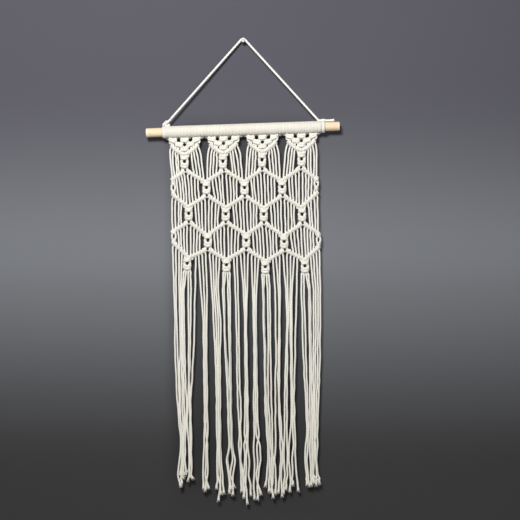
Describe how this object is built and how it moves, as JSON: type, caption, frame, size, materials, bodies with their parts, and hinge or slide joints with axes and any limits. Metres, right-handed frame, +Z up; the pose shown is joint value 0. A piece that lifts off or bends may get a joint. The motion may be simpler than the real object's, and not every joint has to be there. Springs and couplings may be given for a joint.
{
  "type": "macrame wall hanging with dowel and wall nail",
  "caption": "Cream cotton macrame wall hanging knotted in zigzag bars on a wooden dowel, with a long fringe and a white hanging cord over a wall nail.",
  "frame": {"origin": "centre of the nail's flat back end, on the wall plane", "axes": "+Z up along the hanging, +Y into the wall, +X towards the viewer's right; the front faces -Y"},
  "size_m": [0.3002, 0.023, 0.7284],
  "materials": {
    "cotton_cord": "matte cream cotton rope",
    "white_cotton_cord": "matte white cotton cord",
    "birch_wood": "bare sanded pale wood",
    "nail_steel": "plain bright steel"
  },
  "bodies": {
    "root": {"wall_nail": "nail_steel", "dowel": "birch_wood", "hanging_cord": "white_cotton_cord", "left_tie": "white_cotton_cord", "right_tie": "white_cotton_cord", "macrame_panel": "cotton_cord", "fringe": "cotton_cord"}
  },
  "joints": []
}
